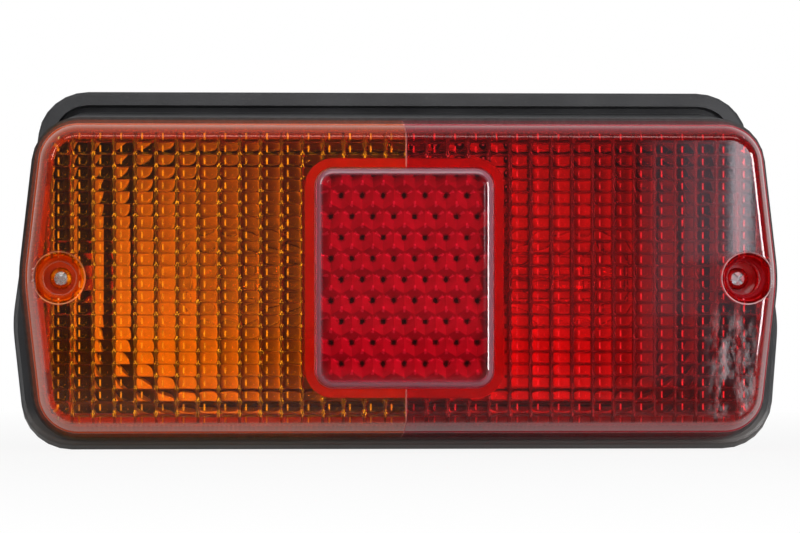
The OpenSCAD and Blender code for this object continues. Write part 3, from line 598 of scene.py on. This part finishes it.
def glass_material():
    m, nt, p, out = material("bulb_glass")
    p.inputs["Base Color"].default_value = (0.97, 0.98, 0.98, 1)
    p.inputs["Transmission Weight"].default_value = 1
    p.inputs["IOR"].default_value = 1.5
    n = noise(nt, 120, 2, 0.5, object_coords(nt))
    nt.links.new(ramp(nt, n.outputs["Fac"], [(0.3, grey(0.0)), (0.8, grey(0.04))]), p.inputs["Roughness"])
    clear_to_shadow_rays(nt, p.outputs["BSDF"], (0.95, 0.96, 0.96), out)
    return m


def red_plastic(name, colour, dark, rough=0.3, metallic=0.0, scale=260):
    m, nt, p, out = material(name)
    vec = object_coords(nt)
    n = noise(nt, scale, 3, 0.6, vec)
    nt.links.new(ramp(nt, n.outputs["Fac"], [(0.3, dark), (0.75, colour)]), p.inputs["Base Color"])
    p.inputs["Metallic"].default_value = metallic
    p.inputs["Roughness"].default_value = rough
    nt.links.new(bump(nt, n.outputs["Fac"], 0.1, 0.0002), p.inputs["Normal"])
    return m


# Painted shade and glints: colour of the painted shade in the gaps, colour of the painted highlight dash
# beside each gap, its distance from the gap, how dark the painted shade in the gaps between the rows is, and
# half the width of the gaps between rows and between columns
# ring gives the side and the colour of the painted highlight rings of the cups
# wall is the colour of the painted glow on the side walls
AMBER = lens_material("amber_lens", (0.97, 0.33, 0.007), (0.97, 0.74, 0.2), wall=(0.60, 0.12, 0.03),
                      painted_shade_and_glints=((0.10, 0.02, 0.006), (1.0, 0.62, 0.16), 1.7, 0.5, (0.2, 0.3)),
                      ring=(-1, (0.95, 0.36, 0.16)))
RED = lens_material("red_lens", (0.84, 0.024, 0.028), (0.93, 0.14, 0.15), wall=(0.40, 0.04, 0.06),
                    painted_shade_and_glints=((0.08, 0.008, 0.016), (0.85, 0.22, 0.30), 2.1, 0.85, (0.42, 0.45)),
                    ring=(1, (0.85, 0.52, 0.54)), worn=True)
# edge is the colour of the painted reflection on the rounded edge of the reflex plate
REFLEX = lens_material("reflex_red", (0.62, 0.04, 0.115), (0.95, 0.3, 0.34), rough=0.03,
                       edge=(0.34, 0.17, 0.22))
REFLEX_FIELD = red_plastic("reflex_prisms", (0.58, 0.13, 0.34), (0.44, 0.07, 0.20), 0.5, 0.25)
REFLEX_PETAL_HIGHLIGHT = red_plastic("reflex_petal_highlights", (0.98, 0.55, 0.85), (0.80, 0.35, 0.60), 0.3, 0.2)
REFLEX_PIT_SHADE = red_plastic("reflex_pit_shade", (0.10, 0.02, 0.04), (0.05, 0.01, 0.02), 0.5)
# The side wall is part of the insert; its pale grey-violet is a painted reflection, the surroundings mirrored
# in the plate's rim
REFLEX_WALL_REFLECTION = red_plastic("reflex_wall_reflection", (0.34, 0.20, 0.25), (0.24, 0.12, 0.15), 0.35)
REFLEX_FRAME = red_plastic("reflex_frame", (0.42, 0.012, 0.01), (0.32, 0.01, 0.008), 0.25)
BASE = base_material()
RUBBER = rubber_material()
TRAY = tray_material()
ZINC = metal_material("zinc_steel", (0.66, 0.67, 0.68), 0.28)
BRASS = metal_material("brass", (0.72, 0.56, 0.28), 0.3, tarnish=(0.4, 0.28, 0.12))
TUNGSTEN = metal_material("tungsten", (0.4, 0.4, 0.42), 0.35)
FIBRE = fibre_material()
GLASS = glass_material()
BY_SLOT = {
    "base_plastic": BASE, "black_rubber": RUBBER, "amber_lens": AMBER, "red_lens": RED, "reflex_red": REFLEX,
    "bright_tray": TRAY, "zinc_steel": ZINC, "brass": BRASS, "bulb_glass": GLASS, "tungsten": TUNGSTEN,
    "fibre_board": FIBRE,
}


def finish_piece(o, mat, slot, *nodes):
    o.data.materials.clear()
    o.data.materials.append(mat)
    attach(o, "root")
    if nodes:
        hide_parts(*nodes)
    return o


# ---------------------------------------------------------------- lens
RIB_STEP, RIB_DEPTH = 0.3, 0.35
LENS_STEPS = 14
# Profiles are pairs: how far inside the lip's outline, and the depth from the lip's plane
OUTER_PROFILE = [
    (4.6, -12.0), (3.9, -11.86), (3.4, -11.55), (3.0, -10.9), (2.65, -9.8), (1.6, -6.0), (0.7, -2.8),
    (0.36, -0.9), (0.30, -0.5), (0.14, -0.42), (0.0, -0.25), (-0.07, 0.05), (-0.12, 0.9), (-1.5, 12.0)]
HOLLOW_FRONT = [(INNER_INSET, INNER), (4.45, -9.1), (4.2, -8.0)]
HOLLOW_RIBBED = [(4.05, -7.6, 0.0), (3.8, -6.0, 1.0), (3.0, -3.0, 1.0), (2.4, -1.0, 1.0), (2.15, 0.0, 0.0)]
HOLLOW_SKIRT_DEPTHS = (6, 13)
LENS_COUNTS = plan(LENS, RIB_STEP, LENS_STEPS)


def ribbed(ring, plain, amount):
    """Moves every other pair of points of a ring towards a second ring, for small moulded ribs."""
    return [p.lerp(q, amount if (i // 2) % 2 else 0.0) for i, (p, q) in enumerate(zip(ring, plain))]


def lr(d, depth):
    return lens_ring(d, depth, LENS_COUNTS, LENS_STEPS)


def make_outer():
    return loft("lens_outer", [lr(*p) for p in OUTER_PROFILE], smooth_angle=50)


def make_hollow():
    """Inside of the lens, with fine upright ribs on its bevel."""
    rings = [lr(*p) for p in HOLLOW_FRONT]
    for d, depth, amount in HOLLOW_RIBBED:
        rings.append(ribbed(lr(d, depth), lr(d - RIB_DEPTH, depth), amount))
    rings += [lr(WALL - FLARE * depth / SKIRT, depth) for depth in HOLLOW_SKIRT_DEPTHS]
    return loft("lens_hollow", rings, smooth_angle=40)


# Pillows: height of the bulge each way, number of columns and rows, and the steps across one
BULGE_X, BULGE_Z = 1.25, 0.42
PAD_COLUMNS, PAD_ROWS = 36, 24
STEPS_X = [-1, -0.9, -0.75, -0.6, -0.42, -0.22, 0, 0.22, 0.42, 0.6, 0.75, 0.9]
STEPS_Z = [-1, -0.93, -0.84, -0.6, -0.3, 0, 0.3, 0.6, 0.84, 0.93]


def bow(u, half, sag):
    """Height of a circular arc of that half width and sag, at u from -1 to 1."""
    r = (half * half + sag * sag) / (2 * sag)
    return math.sqrt(max(r * r - (u * half) ** 2, 0)) - (r - sag)


def close_sheet(name, verts, nx, nz, y, smooth_angle):
    """Body between a wavy sheet of nx by nz points and a flat face at y."""
    faces = [(j * nx + i, (j + 1) * nx + i, (j + 1) * nx + i + 1, j * nx + i + 1)
             for j in range(nz - 1) for i in range(nx - 1)]
    border = list(range(nx)) + [j * nx + nx - 1 for j in range(1, nz)]
    border += [(nz - 1) * nx + i for i in range(nx - 2, -1, -1)] + [j * nx for j in range(nz - 2, 0, -1)]
    t, n = len(verts), len(border)
    verts = verts + [(verts[b][0], y, verts[b][2]) for b in border]
    faces += [(border[k], border[(k + 1) % n], t + (k + 1) % n, t + k) for k in range(n)]
    faces.append(tuple(t + k for k in range(n)))
    return make(name, verts, faces, smooth_angle)


def make_pads():
    x0 = SEAM_X - PAD_COLUMNS / 2 * PITCH_X
    z0 = -PAD_ROWS / 2 * PITCH_Z
    front, edge = LIP_Y + INNER - 0.6, LIP_Y + INNER + 0.05
    sx, sz = len(STEPS_X), len(STEPS_Z)
    nx, nz = PAD_COLUMNS * sx + 1, PAD_ROWS * sz + 1
    verts = []
    for j in range(nz):
        v = STEPS_Z[j % sz]
        z = z0 + (j // sz + (v + 1) / 2) * PITCH_Z
        for i in range(nx):
            u = STEPS_X[i % sx]
            y = edge + bow(u, PITCH_X / 2, BULGE_X) + bow(v, PITCH_Z / 2, BULGE_Z)
            verts.append((x0 + (i // sx + (u + 1) / 2) * PITCH_X, y, z))
    return close_sheet("pads", verts, nx, nz, front, 30)


def cup_profile(outer):
    """(radius, depth) pairs of a cup's outside, or of the room inside it with the screw's hole."""
    if outer:
        r, mouth = CUP_WELL / 2 + CUP_WALL, CUP_MOUTH / 2 + CUP_WALL
        return [(0, FACE - 0.5), (mouth + 0.1, FACE - 0.5), (mouth, FACE),
                (r + 1.2, -8.2), (r + 0.4, -5.6), (r, -3), (r, SKIRT), (0, SKIRT)]
    r, mouth, floor = CUP_WELL / 2, CUP_MOUTH / 2, SKIRT - CUP_FLOOR
    return [(0, FACE - 1), (mouth + 0.9, FACE - 1), (mouth + 0.5, FACE), (mouth, FACE + 0.5),
            (r + 1.3, -8.6), (r + 0.5, -6.2), (r + 0.1, -4), (r, -3), (r, floor),
            (SCREW_HOLE_R, floor), (SCREW_HOLE_R, SKIRT + 1), (0, SKIRT + 1)]


def cup(name, side, outer):
    return revolve(name, cup_profile(outer), (side * CUP_X, LIP_Y, 0), (0, 1, 0), 64, 40)


def make_lens(side, outer, hollow, pads):
    """One half of the lens: the shell with its pillows, cup and half of the window."""
    big, front, back = 150, -150, 50
    near, far = SEAM_X + side * SEAM_GAP, side * big
    half = block("half", (min(near, far), front, -big), (max(near, far), back, big))
    lens = copy(outer, "lens_right" if side > 0 else "lens_left")
    boolean(lens, hollow, "DIFFERENCE", True)
    field = copy(pads, "field")
    clip = loft("clip", [lr(INNER_INSET - 0.6, INNER - 1), lr(INNER_INSET - 0.2, INNER),
                         lr(INNER_INSET - 0.2, INNER + 4)])
    boolean(field, clip, "INTERSECT")
    wide = plan(WINDOW, WINDOW_STEP, WINDOW_STEPS)
    flange_gap = [window_ring(-REFLEX_FLANGE - 0.2, d, wide, WINDOW_STEPS) for d in (INNER, INNER + 6)]
    boolean(field, loft("flange_gap", flange_gap), "DIFFERENCE")
    boolean(field, cup("cup_outside", side, True), "DIFFERENCE")
    boolean(lens, field, "UNION")
    shell = cup("shell", side, True)
    boolean(shell, outer, "INTERSECT", True)
    boolean(lens, shell, "UNION")
    boolean(lens, cup("well", side, False), "DIFFERENCE")
    window = [window_ring(0, d, wide, WINDOW_STEPS) for d in (FACE - 2, INNER + 3)]
    boolean(lens, loft("window", window), "DIFFERENCE")
    boolean(lens, half, "INTERSECT")
    shade(lens, 32)
    flatten_front(lens)
    return lens


outer, hollow, pads = make_outer(), make_hollow(), make_pads()
amber = make_lens(-1, outer, hollow, pads)
red = make_lens(1, outer, hollow, pads)
for o in (outer, hollow, pads):
    bpy.data.objects.remove(o)
finish_piece(amber, AMBER, "amber_lens", "lens_amber")
finish_piece(red, RED, "red_lens", "lens_red")


# ---------------------------------------------------------------- reflex reflector
REFLEX_STEPS = 10
REFLEX_COUNTS = plan(WINDOW, 1.5, REFLEX_STEPS)
PLATE_PROFILE = [
    (3.1, -14.0), (2.5, -13.96), (1.9, -13.82), (1.35, -13.58), (0.9, -13.22), (0.55, -12.75), (0.35, -12.2),
    (0.25, -11.6), (0.25, INNER + 0.1)]
DOT_X, DOT_Z, DOT_MID = 5.45, 5.46, -0.4
DOT_ROWS, DOT_COLUMNS = 9, 8
# Prisms: depth of a tip, its rise per millimetre towards the three edges, step of the mesh
TIP, SLOPE, PRISM_STEP = 2.1, 0.62, 0.27
FACETS = [(0.0, 1.0), (-math.sqrt(0.75), -0.5), (math.sqrt(0.75), -0.5)]
PRISM_MARGIN, PRISM_BACK = 2.0, 4.2
# Pits at the tips: radius, depth of the cone, how far past the tip it starts, radius of the part with painted
# shade
PIT_R, PIT_DEPTH, PIT_START, PIT_SHADE_R = 0.8, 0.8, 0.2, 0.62
# Direction of the petals, painted highlights that are pale strokes beside the tips
PETAL = math.radians(32)
PIT_SHADE_INDEX, PETAL_HIGHLIGHT_INDEX = 1, 2


def wr(d, depth):
    return window_ring(d, depth, REFLEX_COUNTS, REFLEX_STEPS)


def dots():
    """Tips of the prisms, on a staggered lattice."""
    out = []
    for k in range(-1, DOT_ROWS + 1):
        first = 3 if k % 2 == 0 else 3.5
        z = DOT_MID + (DOT_ROWS // 2 - k) * DOT_Z
        out += [((i - first) * DOT_X, z) for i in range(-1, DOT_COLUMNS + 1)]
    return out


def prism_depth(x, z, tips):
    """How far the field recedes at a place: the deepest prism there, and a cone at each tip."""
    depth, nearest = 0.0, 9
    for tx, tz in tips:
        dx, dz = x - tx, z - tz
        if abs(dx) > 2.2 * DOT_X:
            continue
        depth = max(depth, TIP - SLOPE * max(dx * a + dz * b for a, b in FACETS))
        nearest = min(nearest, math.hypot(dx, dz))
    if nearest < PIT_R:
        depth = max(depth, TIP + PIT_DEPTH * (1 - nearest / PIT_R) + PIT_START)
    return depth


def make_prisms():
    tips = dots()
    half_w, half_h = WIN_W / 2 - PRISM_MARGIN, WIN_H / 2 - PRISM_MARGIN
    nx, nz = int(2 * half_w / PRISM_STEP) + 1, int(2 * half_h / PRISM_STEP) + 1
    front = LIP_Y + INNER + 0.5
    verts = []
    for j in range(nz):
        z = -half_h + 2 * half_h * j / (nz - 1)
        near = [t for t in tips if abs(t[1] - z) < 2.2 * DOT_Z]
        for i in range(nx):
            x = -half_w + 2 * half_w * i / (nx - 1)
            verts.append((x, front + prism_depth(x, z, near), z))
    field = close_sheet("reflex_prisms", verts, nx, nz, front + PRISM_BACK, 14)
    finish_piece(field, REFLEX_FIELD, "reflex_red")
    # Painted shade for the pits, and painted highlights for the petals and drops
    field.data.materials.append(REFLEX_PIT_SHADE)
    field.data.materials.append(REFLEX_PETAL_HIGHLIGHT)
    for poly in field.data.polygons:
        c = poly.center / MM
        if c.y <= front + PRISM_BACK - 0.3:
            paint_prism_light(poly, c, tips)


def paint_prism_light(poly, c, tips):
    """Painted shade on the tips, and painted highlights, pale petals and drops, round them."""
    for tx, tz in tips:
        dx, dz = abs(c.x - tx), c.z - tz
        if dx > 3 or abs(dz) > 4.2:
            continue
        if math.hypot(dx, dz) < PIT_SHADE_R:
            poly.material_index = PIT_SHADE_INDEX
            return
        along = dx * math.cos(PETAL) + dz * math.sin(PETAL)
        across = dz * math.cos(PETAL) - dx * math.sin(PETAL)
        petal = 1.0 < along < 2.4 and abs(across) < 0.16 * along
        drop = 2.5 < dz < 3.9 and dx < 0.42 - 0.2 * abs(dz - 2.9)
        if petal or drop:
            poly.material_index = PETAL_HIGHLIGHT_INDEX


def tube(name, inner, outer, y0, y1, mat):
    rings = [wr(outer, y0), wr(outer, y1), wr(inner, y1), wr(inner, y0)]
    return finish_piece(loft(name, rings, caps=False, closed=True), mat, "reflex_red")


def make_reflex():
    plate = loft("reflex_plate", [wr(*p) for p in PLATE_PROFILE], smooth_angle=40)
    flatten_front(plate)
    finish_piece(plate, REFLEX, "reflex_red", "reflex_reflector")
    make_prisms()
    tube("reflex_side_wall", 2.3, 0.1, INNER + 0.15, INNER + 5.2, REFLEX_WALL_REFLECTION)
    tube("reflex_frame", 0.05, -REFLEX_FLANGE, INNER + 0.05, INNER + 1.5, REFLEX_FRAME)


make_reflex()


# ---------------------------------------------------------------- carried-over CAD nodes
for name, o in NODES.items():
    slot = next(s["material_slot"] for s in frame["record"]["subparts"] if s["node"] == name)
    o.data.materials.clear()
    o.data.materials.append(BY_SLOT[slot])


# ---------------------------------------------------------------- stage, light and camera
# Places here are in metres, and powers in watts
def area(name, location, target, size, power, colour=(1, 1, 1)):
    d = bpy.data.lights.new(name, "AREA")
    d.shape = "RECTANGLE"
    d.size, d.size_y = size
    d.energy = power
    d.color = colour
    o = bpy.data.objects.new(name, d)
    o.location = location
    o.rotation_euler = (Vector(target) - Vector(location)).to_track_quat("-Z", "Y").to_euler()
    bpy.context.scene.collection.objects.link(o)
    return o


def bounced(nt, lp):
    """1 for what a mirroring or clear surface sees, and 0 for the rest."""
    return math_node(nt, "MAXIMUM", lp.outputs["Is Glossy Ray"], lp.outputs["Is Transmission Ray"])


FLOOR_HALF = 6.0
FLOOR_GREY = (0.35, 0.35, 0.35)
# How white the floor is to the camera near the lamp, and how white the lamp sees the part behind it
FLOOR_NEAR, FLOOR_MIRRORED = 0.9, 0.3
WORLD_GREY = (0.13, 0.13, 0.135)
# The field behind: where it begins and is full, as the Y part of a direction, and how white it is
BACKDROP_FROM, BACKDROP_FULL, BACKDROP_WHITE = 0.875, 0.945, 0.7


def make_floor():
    """White to the camera, and grey to the lamp, so that it throws little light up."""
    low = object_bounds()[0][2]
    s = FLOOR_HALF
    me = bpy.data.meshes.new("floor")
    me.from_pydata([(-s, -s, low), (s, -s, low), (s, s, low), (-s, s, low)], [], [(0, 1, 2, 3)])
    floor = bpy.data.objects.new("floor", me)
    bpy.context.scene.collection.objects.link(floor)
    m, nt, p, out = material("floor_white")
    p.inputs["Base Color"].default_value = (*FLOOR_GREY, 1)
    p.inputs["Roughness"].default_value = 0.9
    e = nt.nodes.new("ShaderNodeEmission")
    e.inputs["Color"].default_value = (1, 1, 1, 1)
    lp = nt.nodes.new("ShaderNodeLightPath")
    tc = nt.nodes.new("ShaderNodeTexCoord")
    dist = nt.nodes.new("ShaderNodeVectorMath")
    dist.operation = "LENGTH"
    nt.links.new(tc.outputs["Object"], dist.inputs[0])
    far = nt.nodes.new("ShaderNodeMapRange")
    far.inputs["From Min"].default_value = 0.05
    far.inputs["From Max"].default_value = 0.45
    far.inputs["To Min"].default_value = FLOOR_NEAR
    far.inputs["To Max"].default_value = 1.0
    nt.links.new(dist.outputs["Value"], far.inputs["Value"])
    mirrored = times(nt, times(nt, bounced(nt, lp), axis_band(nt, "Y", -60, -30)), FLOOR_MIRRORED)
    white = times(nt, math_node(nt, "MAXIMUM", lp.outputs["Is Camera Ray"], mirrored), far.outputs["Result"])
    nt.links.new(mix_shader(nt, white, p.outputs["BSDF"], e.outputs["Emission"]), out.inputs["Surface"])
    me.materials.append(m)


def make_world():
    """White to the camera, dim to the lamp, with a bright field behind for what it mirrors or passes."""
    world = bpy.data.worlds.new("studio")
    world.use_nodes = True
    nt = world.node_tree
    dim = nt.nodes["Background"]
    dim.inputs["Color"].default_value = (*WORLD_GREY, 1)
    white = nt.nodes.new("ShaderNodeBackground")
    white.inputs["Color"].default_value = (1, 1, 1, 1)
    lp = nt.nodes.new("ShaderNodeLightPath")
    direction = nt.nodes.new("ShaderNodeTexCoord")
    parts = nt.nodes.new("ShaderNodeSeparateXYZ")
    nt.links.new(direction.outputs["Generated"], parts.inputs["Vector"])
    backdrop = nt.nodes.new("ShaderNodeMapRange")
    backdrop.inputs["From Min"].default_value = BACKDROP_FROM
    backdrop.inputs["From Max"].default_value = BACKDROP_FULL
    backdrop.inputs["To Max"].default_value = BACKDROP_WHITE
    nt.links.new(parts.outputs["Y"], backdrop.inputs["Value"])
    mirrored = times(nt, bounced(nt, lp), backdrop.outputs["Result"])
    seen = math_node(nt, "MAXIMUM", lp.outputs["Is Camera Ray"], mirrored)
    nt.links.new(mix_shader(nt, seen, dim.outputs["Background"], white.outputs["Background"]),
                 nt.nodes["World Output"].inputs["Surface"])
    return world


make_floor()
scene = bpy.context.scene
scene.world = make_world()

area("soft_top", (0.0, -0.40, 0.80), (0, -0.03, 0), (1.0, 0.45), 4.6)
area("soft_left", (-0.80, -0.70, 0.40), (0, -0.03, 0), (0.3, 0.5), 3.2)
area("strip_right", (0.36, -0.40, 0.02), (0.0, -0.04, 0), (0.12, 0.26), 2.2)
# The light veil with a hard edge that the face mirrors at its right end
VEIL = (0.9, 0.92, 1.1)
area("veil_low", (0.156, -0.500, 0.0275), (0.156, 0.0, 0.0275), (0.09, 0.125), 0.008, VEIL)
area("veil_middle", (0.158, -0.501, 0.040), (0.158, 0.0, 0.040), (0.085, 0.10), 0.007, VEIL)
area("veil_high", (0.162, -0.502, 0.050), (0.162, 0.0, 0.050), (0.07, 0.08), 0.008, VEIL)
area("pane_right", (0.1480, -0.499, 0.033), (0.1480, 0.0, 0.033), (0.008, 0.046), 0.0068, (0.95, 0.97, 1.05))
area("rear_fill", (0.0, 0.95, 0.0), (0, 0.02, 0), (0.30, 0.08), 1.2)
area("front_high", (0.0, -1.500, 0.210), (0.0, -0.03, 0.0), (0.40, 0.10), 0.45)

scene.view_settings.view_transform = "Standard"
DISTANCE, YAW, PITCH = 1.10, math.radians(3.0), math.radians(-0.45)
SENSOR, FOCAL = 36, 189
AIM_SHIFT = Vector((-0.0006, 0, 0.0031))
look = Vector((0.0, LIP_Y * MM, 0.0))
away = Vector((-math.sin(YAW) * math.cos(PITCH), -math.cos(YAW) * math.cos(PITCH), math.sin(PITCH)))
cam_data = bpy.data.cameras.new("camera")
cam_data.sensor_width = SENSOR
cam_data.lens = FOCAL
camera = bpy.data.objects.new("camera", cam_data)
camera.location = look + away * DISTANCE
scene.collection.objects.link(camera)
aim = look + AIM_SHIFT
camera.rotation_euler = (aim - camera.location).to_track_quat("-Z", "Y").to_euler()
scene.camera = camera
